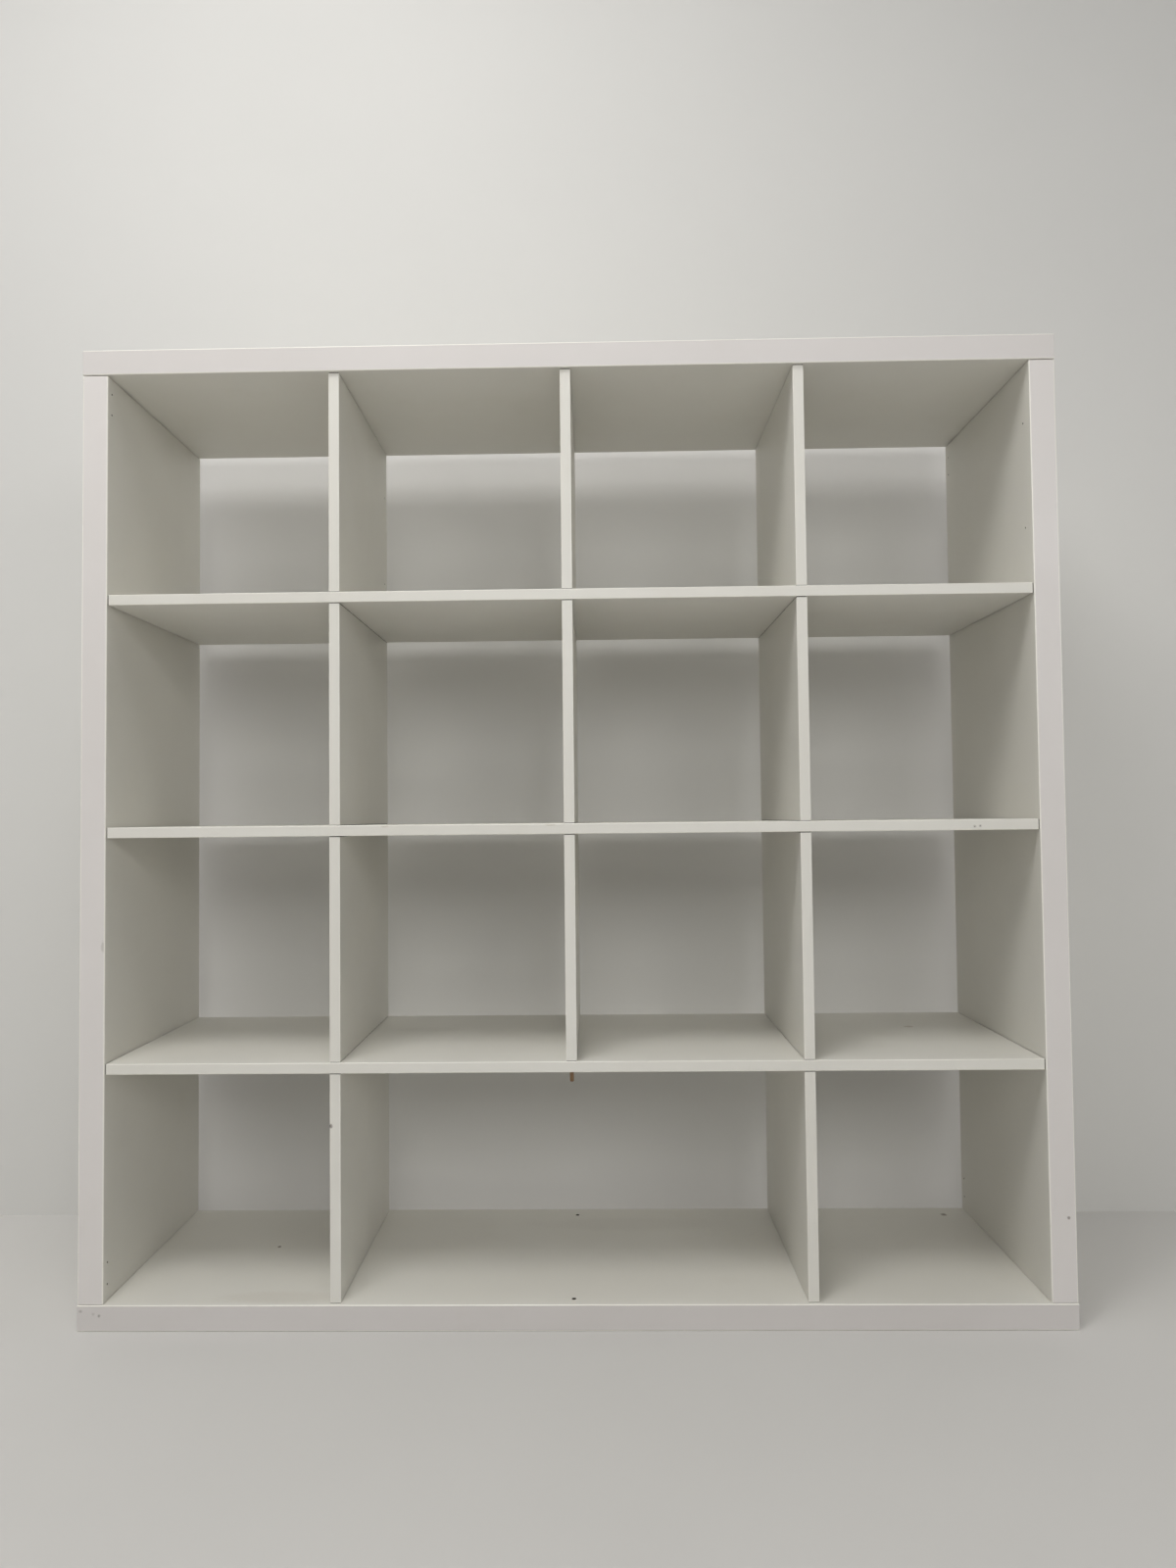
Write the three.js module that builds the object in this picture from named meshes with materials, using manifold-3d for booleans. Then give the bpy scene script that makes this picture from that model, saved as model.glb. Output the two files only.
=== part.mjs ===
// Open cube storage unit: four columns by four rows of square compartments with an open back.
// Four thick hollow-core panels make the outer frame. Three shelves run from side to side, and short
// dividers stand between them on wooden dowels. One divider of the bottom row has been taken out.
// Millimetres. X runs from left to right, Y from front to back, Z up. The origin is on the floor, under
// the middle of the unit.

import * as THREE from 'three';
import { mergeVertices } from 'three/addons/utils/BufferGeometryUtils.js';
import Module from 'manifold-3d';

const wasm = await Module();
wasm.setup();

// Overall size
const unitWidth = 1470;
const unitHeight = 1470;
const unitDepth = 390;

// Outer panels: two skins glued to a frame of rails, a paper honeycomb inside, and an edge band round it
const panelThickness = 38;
const skinThickness = 3;
const railWidth = 50;
const bandThickness = 2;
const honeycombGap = 0.5;
const sideInset = 1; // the side panels stand this far in from the ends of the top and bottom panels

// Shelves and dividers
const boardThickness = 16;
const shelfFrontRecess = 4;
const shelfBackRecess = 4;
const dividerFrontRecess = 5.5;
const dividerBackRecess = 5.5;
const shelfNames = ['lower', 'middle', 'upper'];
const dividerNames = ['left', 'centre', 'right'];
const takenOutDivider = 'divider_row_1_centre';

// Dowels
const dowelDiameter = 6;
const dowelReach = 17; // how far a dowel enters each board on either side of a shelf
const dowelChamfer = 1;
const dowelSideClearance = 0.3;
const dowelEndClearance = 0.5;
const dowelFromFront = 20;
const dowelFromBack = 30;
const dowelSides = 8;

// Connecting screws at the four corners, with a hexagon socket in a flat head
const screwHeadDiameter = 13;
const screwHeadHeight = 4;
const screwHeadRecess = 0.5;
const screwShankDiameter = 7;
const screwGripLength = 42; // length inside the side panel
const screwTipHeight = 3;
const screwSocketWidth = 5;
const screwSocketDepth = 3;
const screwClearance = 0.3;
const screwFromEdge = 60;
const screwSides = 12;
const cornerDowelFromEdge = 110;

// Small pilot holes for inserts and fittings
const pilotDiameter = 3;
const pilotDepth = 8;
const pilotSides = 6;
const pilotFromEdge = 15;
const pilotFromPanel = 25;
const pilotPitch = 32;
const hingePilotFromEdge = 28;
const hingePilotSpacing = 160;

// Levels and columns that follow from the sizes above
const innerBottom = panelThickness;
const innerTop = unitHeight - panelThickness;
const innerHeight = innerTop - innerBottom;
const sideOuterX = unitWidth / 2 - sideInset;
const sideInnerX = sideOuterX - panelThickness;
const sideCentreX = sideOuterX - panelThickness / 2;
const front = -unitDepth / 2;
const back = unitDepth / 2;
const rows = shelfNames.length + 1;
const columns = dividerNames.length + 1;
const cellHeight = (innerHeight - shelfNames.length * boardThickness) / rows;
const cellWidth = (2 * sideInnerX - dividerNames.length * boardThickness) / columns;
const rowBottom = row => innerBottom + row * (cellHeight + boardThickness);
const rowTop = row => rowBottom(row) + cellHeight;
const dividerX = column => -sideInnerX + (column + 1) * (cellWidth + boardThickness) - boardThickness / 2;
const dowelYs = { front: front + dowelFromFront, back: back - dowelFromBack };

// Materials
const material = (color, roughness, metalness = 0) =>
  new THREE.MeshStandardMaterial({ color, roughness, metalness });
const whiteFoil = material(0xdedcd6, 0.5);
const whiteEdging = material(0xe6e4de, 0.45);
const particleboard = material(0xb89b73, 0.9);
const honeycombPaper = material(0xa98d62, 0.95);
const beech = material(0xc39a63, 0.7);
const zincSteel = material(0xb4b6b8, 0.35, 1);

// A closed three.js geometry as a solid that can be cut.
function toSolid(geometry) {
  const bare = geometry.clone();
  bare.deleteAttribute('normal');
  bare.deleteAttribute('uv');
  const merged = mergeVertices(bare);
  const { Mesh, Manifold } = wasm;
  return new Manifold(new Mesh({
    numProp: 3,
    vertProperties: new Float32Array(merged.attributes.position.array),
    triVerts: new Uint32Array(merged.index.array),
  }));
}

// The solid back as a three.js geometry.
function toGeometry(solid) {
  const cut = solid.getMesh();
  const geometry = new THREE.BufferGeometry();
  geometry.setAttribute('position', new THREE.BufferAttribute(cut.vertProperties, 3));
  geometry.setIndex(new THREE.BufferAttribute(cut.triVerts, 1));
  geometry.computeVertexNormals();
  return geometry;
}

const vector = (x, y, z) => new THREE.Vector3(x, y, z);

// Flat faces are rounded to this grid, so that pieces that meet share a face exactly.
const faceGrid = 1 / 64;
const toGrid = value => Math.round(value / faceGrid) * faceGrid;
const gridBox = (low, high) => new THREE.Box3(
  vector(...low.toArray().map(toGrid)), vector(...high.toArray().map(toGrid)));

// A prism of many sides along X or Z, centred on the origin.
function rod(axis, length, diameter, sides) {
  const geometry = new THREE.CylinderGeometry(diameter / 2, diameter / 2, length, sides);
  return axis === 'x' ? geometry.rotateZ(Math.PI / 2) : geometry.rotateX(Math.PI / 2);
}

// Every hole in the boards, each from one place to another along its axis through a point.
const holes = [];

function drill(axis, point, from, to, diameter, sides) {
  const centre = point.clone();
  centre[axis] = (from + to) / 2;
  const reach = vector(diameter / 2, diameter / 2, diameter / 2);
  reach[axis] = Math.abs(to - from) / 2;
  const space = new THREE.Box3(centre.clone().sub(reach), centre.clone().add(reach));
  holes.push({ centre, space, shape: rod(axis, Math.abs(to - from), diameter, sides) });
}

const unit = new THREE.Group();

// A box in the unit's frame as a solid about another point.
function blockAbout(space, origin) {
  const size = space.getSize(vector());
  const offset = space.getCenter(vector()).sub(origin);
  return toSolid(new THREE.BoxGeometry(size.x, size.y, size.z)
    .translate(offset.x, offset.y, offset.z));
}

// Adds a board between two corners, less its window if it is a ring, and less every hole that reaches it.
function addBoard(parent, name, finish, corners, window) {
  const space = gridBox(...corners);
  const centre = space.getCenter(vector());
  let solid = blockAbout(space, centre);
  if (window) solid = solid.subtract(blockAbout(gridBox(...window), centre));
  for (const hole of holes.filter(h => h.space.intersectsBox(space))) {
    const offset = hole.centre.clone().sub(centre);
    solid = solid.subtract(toSolid(hole.shape.clone().translate(offset.x, offset.y, offset.z)));
  }
  const mesh = new THREE.Mesh(toGeometry(solid), finish);
  mesh.name = name;
  mesh.position.copy(centre);
  parent.add(mesh);
}

// ---- Dowels ----

const dowelHoleDiameter = dowelDiameter + 2 * dowelSideClearance;

// Drills for one dowel that enters the boards on both sides of a joint.
function drillDowel(axis, point, low, high) {
  drill(axis, point, low - dowelEndClearance, high + dowelEndClearance, dowelHoleDiameter, dowelSides);
}

function dowelGeometry(length) {
  const radius = dowelDiameter / 2;
  const half = length / 2;
  const profile = [
    [0, -half],
    [radius - dowelChamfer, -half],
    [radius, -half + dowelChamfer],
    [radius, half - dowelChamfer],
    [radius - dowelChamfer, half],
    [0, half],
  ].map(([r, h]) => new THREE.Vector2(r, h));
  return new THREE.LatheGeometry(profile, dowelSides).rotateX(Math.PI / 2);
}

// Upright dowels go through each shelf into the dividers above and below it.
const shelfDowels = [];
shelfNames.forEach((shelf, level) => {
  dividerNames.forEach((divider, column) => {
    for (const [end, y] of Object.entries(dowelYs)) {
      const shelfBottom = rowTop(level);
      const low = shelfBottom - dowelReach;
      const high = shelfBottom + boardThickness + dowelReach;
      const middle = vector(dividerX(column), y, (low + high) / 2);
      drillDowel('z', middle, low, high);
      shelfDowels.push({ name: `dowel_${shelf}_${divider}_${end}`, middle, length: high - low });
    }
  });
});

// Shorter dowels hold the dividers to the top and bottom panels, and the shelves to the side panels.
// The two holes under the divider that was taken out stay open.
for (const y of Object.values(dowelYs)) {
  dividerNames.forEach((divider, column) => {
    for (const level of [innerBottom, innerTop]) {
      drillDowel('z', vector(dividerX(column), y, 0), level - dowelReach, level + dowelReach);
    }
  });
  shelfNames.forEach((shelf, level) => {
    for (const x of [-sideInnerX, sideInnerX]) {
      const height = rowTop(level) + boardThickness / 2;
      drillDowel('x', vector(0, y, height), x - dowelReach, x + dowelReach);
    }
  });
}

// ---- Corner joints: two screws and two dowels at each end of each side panel ----

const cornerScrews = [];
for (const [side, x] of [['left', -sideCentreX], ['right', sideCentreX]]) {
  for (const [end, y] of [['front', front + screwFromEdge], ['back', back - screwFromEdge]]) {
    for (const [panel, face, joint] of [['top', unitHeight, innerTop], ['bottom', 0, innerBottom]]) {
      const inward = Math.sign(joint - face);
      const headTop = face + inward * screwHeadRecess;
      const headFoot = headTop + inward * screwHeadHeight;
      const tip = joint + inward * screwGripLength;
      const clearance = inward * screwClearance;
      drill('z', vector(x, y, 0), face - inward, headFoot + clearance,
        screwHeadDiameter + 2 * screwClearance, screwSides);
      drill('z', vector(x, y, 0), face, tip + clearance,
        screwShankDiameter + 2 * screwClearance, screwSides);
      cornerScrews.push({ name: `screw_${panel}_${side}_${end}`, x, y, headTop, inward,
        length: Math.abs(tip - headTop) });
    }
  }
  for (const y of [front + cornerDowelFromEdge, back - cornerDowelFromEdge]) {
    for (const level of [innerBottom, innerTop]) {
      drillDowel('z', vector(x, y, 0), level - dowelReach, level + dowelReach);
    }
  }
}

// A screw with its head up and the top of its head at the origin.
function screwGeometry(length) {
  const headRadius = screwHeadDiameter / 2;
  const shankRadius = screwShankDiameter / 2;
  const profile = [
    [0, -length],
    [shankRadius / 2, -length],
    [shankRadius, -length + screwTipHeight],
    [shankRadius, -screwHeadHeight],
    [headRadius, -screwHeadHeight],
    [headRadius, 0],
    [0, 0],
  ].map(([r, h]) => new THREE.Vector2(r, h));
  const blank = new THREE.LatheGeometry(profile, screwSides).rotateX(Math.PI / 2);
  const socketRadius = screwSocketWidth / Math.sqrt(3);
  const socket = new THREE.CylinderGeometry(socketRadius, socketRadius, 2 * screwSocketDepth, 6)
    .rotateX(Math.PI / 2);
  return toGeometry(toSolid(blank).subtract(toSolid(socket)));
}

// ---- Pilot holes ----

function drillPilot(faceX, direction, y, z) {
  drill('x', vector(0, y, z), faceX - direction, faceX + direction * pilotDepth,
    pilotDiameter, pilotSides);
}

// Both side panels are the same board, so the right one, turned round, has its pairs at the back.
for (const step of [pilotFromPanel, pilotFromPanel + pilotPitch]) {
  for (const z of [innerBottom + step, innerTop - step]) {
    drillPilot(-sideInnerX, -1, front + pilotFromEdge, z);
    drillPilot(sideInnerX, 1, back - pilotFromEdge, z);
  }
}
// Two pairs in the top row, where the hinges of an insert were screwed on.
const topRowMiddle = innerTop - cellHeight / 2;
for (const z of [topRowMiddle - hingePilotSpacing / 2, topRowMiddle + hingePilotSpacing / 2]) {
  drillPilot(sideInnerX, 1, front + hingePilotFromEdge, z);
  drillPilot(dividerX(0) + boardThickness / 2, -1, back - hingePilotFromEdge, z);
}

// ---- Outer panels ----

// A hollow-core panel between two corners. thin is the axis through its thickness, and faces names the
// skins on the low and high side of it.
function addPanel(name, thin, low, high, faces) {
  const panel = new THREE.Group();
  // The corners of a layer: inset all round the panel, and between two heights above its low face
  const layer = (inset, from, to) => {
    const corners = [low.clone().addScalar(inset), high.clone().subScalar(inset)];
    corners[0][thin] = low[thin] + from;
    corners[1][thin] = low[thin] + to;
    return corners;
  };
  const coreTop = panelThickness - skinThickness;
  const railInset = bandThickness + railWidth;
  const through = inset => layer(inset, -panelThickness, 2 * panelThickness);

  addBoard(panel, `${name}_edge_band`, whiteEdging, layer(0, 0, panelThickness), through(bandThickness));
  addBoard(panel, `${name}_${faces[0]}_skin`, whiteFoil, layer(bandThickness, 0, skinThickness));
  addBoard(panel, `${name}_${faces[1]}_skin`, whiteFoil,
    layer(bandThickness, coreTop, panelThickness));
  addBoard(panel, `${name}_rails`, particleboard, layer(bandThickness, skinThickness, coreTop),
    through(railInset));
  addBoard(panel, `${name}_honeycomb`, honeycombPaper,
    layer(railInset + honeycombGap, skinThickness, coreTop));
  unit.add(panel);
}

const endX = unitWidth / 2;
addPanel('bottom_panel', 'z', vector(-endX, front, 0), vector(endX, back, innerBottom),
  ['lower', 'upper']);
addPanel('top_panel', 'z', vector(-endX, front, innerTop), vector(endX, back, unitHeight),
  ['lower', 'upper']);
addPanel('left_side', 'x', vector(-sideOuterX, front, innerBottom), vector(-sideInnerX, back, innerTop),
  ['outer', 'inner']);
addPanel('right_side', 'x', vector(sideInnerX, front, innerBottom), vector(sideOuterX, back, innerTop),
  ['inner', 'outer']);

// ---- Shelves and dividers ----

shelfNames.forEach((shelf, level) => {
  addBoard(unit, `shelf_${shelf}`, whiteFoil, [
    vector(-sideInnerX, front + shelfFrontRecess, rowTop(level)),
    vector(sideInnerX, back - shelfBackRecess, rowBottom(level + 1)),
  ]);
});

for (let row = 0; row < rows; row++) {
  dividerNames.forEach((divider, column) => {
    const name = `divider_row_${row + 1}_${divider}`;
    if (name === takenOutDivider) return;
    addBoard(unit, name, whiteFoil, [
      vector(dividerX(column) - boardThickness / 2, front + dividerFrontRecess, rowBottom(row)),
      vector(dividerX(column) + boardThickness / 2, back - dividerBackRecess, rowTop(row)),
    ]);
  });
}

// ---- Fastenings ----

for (const { name, middle, length } of shelfDowels) {
  const dowel = new THREE.Mesh(toGeometry(toSolid(dowelGeometry(length))), beech);
  dowel.name = name;
  dowel.position.copy(middle);
  unit.add(dowel);
}

for (const { name, x, y, headTop, inward, length } of cornerScrews) {
  const screw = new THREE.Mesh(screwGeometry(length), zincSteel);
  screw.name = name;
  screw.position.set(x, y, headTop);
  if (inward > 0) screw.rotation.x = Math.PI; // a screw in the bottom panel points up
  unit.add(screw);
}

export default unit;
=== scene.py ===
import math
import random

import bmesh
import bpy
from mathutils import Matrix, Vector


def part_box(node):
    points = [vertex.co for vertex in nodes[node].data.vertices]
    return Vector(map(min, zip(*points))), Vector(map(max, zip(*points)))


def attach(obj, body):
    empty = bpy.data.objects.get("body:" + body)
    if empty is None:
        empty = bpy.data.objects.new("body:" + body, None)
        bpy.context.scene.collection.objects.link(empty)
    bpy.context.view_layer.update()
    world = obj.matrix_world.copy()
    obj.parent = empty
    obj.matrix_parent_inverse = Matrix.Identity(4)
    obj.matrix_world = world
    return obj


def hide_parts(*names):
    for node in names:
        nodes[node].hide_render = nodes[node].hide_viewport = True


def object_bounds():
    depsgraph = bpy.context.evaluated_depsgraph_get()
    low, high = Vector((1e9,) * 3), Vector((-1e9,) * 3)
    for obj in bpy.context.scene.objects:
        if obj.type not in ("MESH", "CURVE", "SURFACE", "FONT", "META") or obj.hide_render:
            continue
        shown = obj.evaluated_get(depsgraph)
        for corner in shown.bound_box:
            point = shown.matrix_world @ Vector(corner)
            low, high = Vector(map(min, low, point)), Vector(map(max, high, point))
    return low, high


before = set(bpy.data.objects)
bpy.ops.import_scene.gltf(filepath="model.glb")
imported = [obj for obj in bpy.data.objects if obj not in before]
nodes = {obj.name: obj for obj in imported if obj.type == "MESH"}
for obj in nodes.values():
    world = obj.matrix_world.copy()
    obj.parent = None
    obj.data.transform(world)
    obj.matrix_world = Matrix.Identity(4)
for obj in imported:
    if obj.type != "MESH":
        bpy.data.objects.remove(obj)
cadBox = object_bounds()
scene = bpy.context.scene
mm = 0.001
print("frame loaded,", len(nodes), "nodes")


# Node helpers, for materials and geometry trees

def addNode(tree, kind, inputs=None, **settings):
    node = tree.nodes.new(kind)
    for key, value in settings.items():
        setattr(node, key, value)
    for key, value in (inputs or {}).items():
        if isinstance(value, bpy.types.NodeSocket):
            tree.links.new(value, node.inputs[key])
        else:
            node.inputs[key].default_value = value
    return node


def calc(tree, operation, a, b=0.0, c=0.0):
    node = addNode(tree, "ShaderNodeMath", {0: a, 1: b, 2: c}, operation=operation)
    return node.outputs[0]


def startFinish(name):
    finish = bpy.data.materials.new(name)
    finish.use_nodes = True
    tree = finish.node_tree
    shader = tree.nodes["Principled BSDF"]
    place = addNode(tree, "ShaderNodeTexCoord").outputs["Object"]
    return finish, tree, shader, place


def noise(tree, place, scale, detail=2.0, roughness=0.5, stretch=None, seat=(0, 0, 0)):
    if stretch or any(seat):
        mapping = addNode(tree, "ShaderNodeMapping", {"Vector": place})
        mapping.inputs["Scale"].default_value = stretch or (1, 1, 1)
        mapping.inputs["Location"].default_value = seat
        place = mapping.outputs[0]
    node = addNode(tree, "ShaderNodeTexNoise", {
        "Vector": place, "Scale": scale, "Detail": detail, "Roughness": roughness})
    return node.outputs["Fac"]


def spread(tree, value, low, high, newLow, newHigh):
    node = addNode(tree, "ShaderNodeMapRange", {
        "Value": value, "From Min": low, "From Max": high, "To Min": newLow, "To Max": newHigh})
    return node.outputs[0]


def blendTones(tree, share, first, second):
    node = addNode(tree, "ShaderNodeMix", {"Factor": share}, data_type="RGBA")
    for key, tone in ((6, first), (7, second)):
        if isinstance(tone, bpy.types.NodeSocket):
            tree.links.new(tone, node.inputs[key])
        else:
            node.inputs[key].default_value = (*tone, 1.0)
    return node.outputs[2]


def addBump(tree, shader, height, strength, depth):
    bump = addNode(tree, "ShaderNodeBump", {
        "Height": height, "Strength": strength, "Distance": depth})
    tree.links.new(bump.outputs[0], shader.inputs["Normal"])


# White foil of the skins, shelves and dividers, and the edge band

whiteFoil = {
    "tone": (0.795, 0.781, 0.724),
    "greyer": (0.770, 0.753, 0.692),
    "handled": (0.700, 0.670, 0.588),
    "roughness": (0.40, 0.54),
    "peelBumpsPerMetre": 1100.0,
    "peelDepth": 0.05 * mm,
}
edgeBand = {
    "tone": (0.785, 0.753, 0.734),
    "greyer": (0.760, 0.728, 0.704),
    "handled": (0.695, 0.655, 0.603),
    "roughness": (0.34, 0.48),
    "peelBumpsPerMetre": 1500.0,
    "peelDepth": 0.03 * mm,
}
# Rounded edges are smoother than the flat faces, and paler: partly the creamier trimmed band, partly a
# painted highlight where the rounding catches light
trimmedEdgeAndHighlight = {
    "tone": (0.915, 0.895, 0.835),
    "greyer": (0.890, 0.866, 0.800),
    "handled": (0.790, 0.755, 0.675),
    "roughness": (0.24, 0.34),
    "peelBumpsPerMetre": 1500.0,
    "peelDepth": 0.02 * mm,
}
# The bands of the top and bottom panels are painted a little darker than those of the sides: painted
# shade, on copies of the same band
bandPaintedShade = {"top_panel_edge_band": 0.925, "bottom_panel_edge_band": 0.885}
# Unevenness and wear that foil, bands and rounded edges share. A range is where a pattern fades in.
foilWear = {
    "cloudsPerMetre": 2.6,
    "cloudRange": (0.35, 0.68),
    "touchesPerMetre": 9.0,
    "touchRange": (0.60, 0.80),
    "touchShare": 0.22,
    "streaksPerMetre": 30.0,
    "streakStretch": (0.35, 0.35, 3.0),
    "streakRange": (0.68, 0.78),
    "streakShare": 0.16,
    "wipesPerMetre": 12.0,
    "wipeRange": (0.3, 0.7),
    "wavesPerMetre": 55.0,
    "waveHeight": 1.6,          # against the peel's 1
    "bumpStrength": 0.35,
    "shine": 0.42,
}


markEdge = {"wobblesPerMetre": 260.0, "wobble": 0.9, "fadeRange": (1.1, 1.6)}


# Each mark is a place in millimetres, its size, a tone and how strong it is.
def paintMarks(tree, place, tone, marks):
    for centre, size, ink, strength in marks:
        seat = (centre[0] * 0.37, 0, 0)     # moves the pattern from mark to mark
        wobble = noise(tree, place, markEdge["wobblesPerMetre"], 2.0, seat=seat)
        shift = addNode(tree, "ShaderNodeVectorMath", {
            0: place, 1: [-v * mm for v in centre]}, operation="ADD").outputs[0]
        shape = addNode(tree, "ShaderNodeVectorMath", {
            0: shift, 1: [1 / (v * mm) for v in size]}, operation="MULTIPLY").outputs[0]
        reach = addNode(tree, "ShaderNodeVectorMath", {0: shape}, operation="LENGTH")
        ragged = calc(tree, "MULTIPLY_ADD", wobble, markEdge["wobble"], reach.outputs["Value"])
        share = spread(tree, ragged, *markEdge["fadeRange"], strength, 0.0)
        tone = blendTones(tree, share, tone, ink)
    return tone


def foilFinish(name, look, marks=()):
    finish, tree, shader, place = startFinish(name)
    wear = foilWear
    clouds = noise(tree, place, wear["cloudsPerMetre"], 3.0, 0.55)
    share = spread(tree, clouds, *wear["cloudRange"], 0.0, 1.0)
    tone = blendTones(tree, share, look["tone"], look["greyer"])
    touched = noise(tree, place, wear["touchesPerMetre"], 6.0, 0.62, seat=(3.1, 1.7, 0.4))
    share = spread(tree, touched, *wear["touchRange"], 0.0, wear["touchShare"])
    tone = blendTones(tree, share, tone, look["handled"])
    streaks = noise(tree, place, wear["streaksPerMetre"], 4.0, 0.6,
                    stretch=wear["streakStretch"], seat=(0.3, 5.2, 0))
    share = spread(tree, streaks, *wear["streakRange"], 0.0, wear["streakShare"])
    tone = blendTones(tree, share, tone, look["handled"])
    tone = paintMarks(tree, place, tone, marks)
    tree.links.new(tone, shader.inputs["Base Color"])
    wiped = noise(tree, place, wear["wipesPerMetre"], 5.0, 0.6)
    roughness = spread(tree, wiped, *wear["wipeRange"], *look["roughness"])
    tree.links.new(roughness, shader.inputs["Roughness"])
    peel = noise(tree, place, look["peelBumpsPerMetre"], 2.0, 0.5)
    waves = noise(tree, place, wear["wavesPerMetre"], 2.0, 0.5)
    height = calc(tree, "MULTIPLY_ADD", waves, wear["waveHeight"], peel)
    addBump(tree, shader, height, wear["bumpStrength"], look["peelDepth"])
    shader.inputs["Specular IOR Level"].default_value = wear["shine"]
    return finish


# Particleboard, honeycomb paper, dowel wood and screw steel

chipboard = {
    "pale": (0.56, 0.40, 0.23),
    "dark": (0.26, 0.16, 0.08),
    "dusty": (0.66, 0.50, 0.31),
    "chipsPerMetre": 520.0,
    "chipDepth": 0.4 * mm,
    "dustPerMetre": 90.0,
    "dustRange": (0.4, 0.8),
    "dustShare": 0.5,
    "roughness": 0.88,
    "shine": 0.4,
    # In holes and joint recesses the board is painted nearly black: painted shade
    "shadeInHoles": 0.08,
    "shineInHoles": 0.05,
}


def chipboardFinish(name, shade, shine):
    finish, tree, shader, place = startFinish(name)
    chips = addNode(tree, "ShaderNodeTexVoronoi", {
        "Vector": place, "Scale": chipboard["chipsPerMetre"], "Randomness": 1.0})
    grey = addNode(tree, "ShaderNodeRGBToBW", {"Color": chips.outputs["Color"]}).outputs[0]
    # shade scales all tones; for holes and recesses it paints shade
    tones = [[shade * v for v in chipboard[key]] for key in ("pale", "dark", "dusty")]
    tone = blendTones(tree, grey, tones[0], tones[1])
    dust = noise(tree, place, chipboard["dustPerMetre"], 4.0, 0.6)
    share = spread(tree, dust, *chipboard["dustRange"], 0.0, chipboard["dustShare"])
    tree.links.new(blendTones(tree, share, tone, tones[2]), shader.inputs["Base Color"])
    shader.inputs["Roughness"].default_value = chipboard["roughness"]
    shader.inputs["Specular IOR Level"].default_value = shine
    addBump(tree, shader, chips.outputs["Distance"], 0.6, chipboard["chipDepth"])
    return finish


kraftPaper = {
    "pale": (0.50, 0.36, 0.21),
    "dark": (0.36, 0.24, 0.13),
    "fibresPerMetre": 420.0,
    "fibreDepth": 0.1 * mm,
    "roughness": 0.92,
}


def paperFinish():
    finish, tree, shader, place = startFinish("honeycomb paper")
    fibres = noise(tree, place, kraftPaper["fibresPerMetre"], 5.0, 0.7, stretch=(1.0, 1.0, 0.25))
    tone = blendTones(tree, spread(tree, fibres, 0.35, 0.65, 0.0, 1.0),
                      kraftPaper["pale"], kraftPaper["dark"])
    tree.links.new(tone, shader.inputs["Base Color"])
    shader.inputs["Roughness"].default_value = kraftPaper["roughness"]
    addBump(tree, shader, fibres, 0.4, kraftPaper["fibreDepth"])
    return finish


beech = {
    "pale": (0.35, 0.22, 0.12),
    "dark": (0.14, 0.078, 0.038),
    "pore": (0.09, 0.045, 0.02),
    "grainPerMetre": 380.0,
    "grainDepth": 0.15 * mm,
    "poresPerMetre": 900.0,
    "poreRange": (0.62, 0.72),
    "poreShare": 0.6,
    "roughness": (0.55, 0.75),
    "alongGrain": 0.08,         # scale of the pattern along the dowel, against 1 across it
}


# The grain runs along one axis, so an upright dowel and a lying one have a finish each.
def dowelFinish(name, grainStretch):
    finish, tree, shader, place = startFinish(name)
    grain = noise(tree, place, beech["grainPerMetre"], 4.0, 0.6, stretch=grainStretch)
    tone = blendTones(tree, spread(tree, grain, 0.3, 0.7, 0.0, 1.0), beech["pale"], beech["dark"])
    pores = noise(tree, place, beech["poresPerMetre"], 2.0, 0.5, stretch=grainStretch, seat=(2, 0, 1))
    share = spread(tree, pores, *beech["poreRange"], 0.0, beech["poreShare"])
    tree.links.new(blendTones(tree, share, tone, beech["pore"]), shader.inputs["Base Color"])
    roughness = spread(tree, grain, 0.3, 0.7, *beech["roughness"])
    tree.links.new(roughness, shader.inputs["Roughness"])
    addBump(tree, shader, grain, 0.5, beech["grainDepth"])
    return finish


zincSteel = {
    "tone": (0.56, 0.57, 0.58),
    "dull": (0.40, 0.40, 0.40),
    "blotchesPerMetre": 320.0,
    "roughness": (0.28, 0.46),
    "pitsPerMetre": 1800.0,
    "pitDepth": 0.02 * mm,
}


def steelFinish():
    finish, tree, shader, place = startFinish("zinc plated steel")
    blotches = noise(tree, place, zincSteel["blotchesPerMetre"], 4.0, 0.6)
    tone = blendTones(tree, spread(tree, blotches, 0.35, 0.7, 0.0, 1.0),
                      zincSteel["tone"], zincSteel["dull"])
    tree.links.new(tone, shader.inputs["Base Color"])
    shader.inputs["Metallic"].default_value = 1.0
    roughness = spread(tree, blotches, 0.3, 0.7, *zincSteel["roughness"])
    tree.links.new(roughness, shader.inputs["Roughness"])
    pits = noise(tree, place, zincSteel["pitsPerMetre"], 2.0)
    addBump(tree, shader, pits, 0.25, zincSteel["pitDepth"])
    return finish


darkSpeck = (0.10, 0.065, 0.04)
greySpeck = (0.34, 0.32, 0.29)
brownSmudge = (0.42, 0.34, 0.25)
greyRub = (0.50, 0.47, 0.43)
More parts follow.
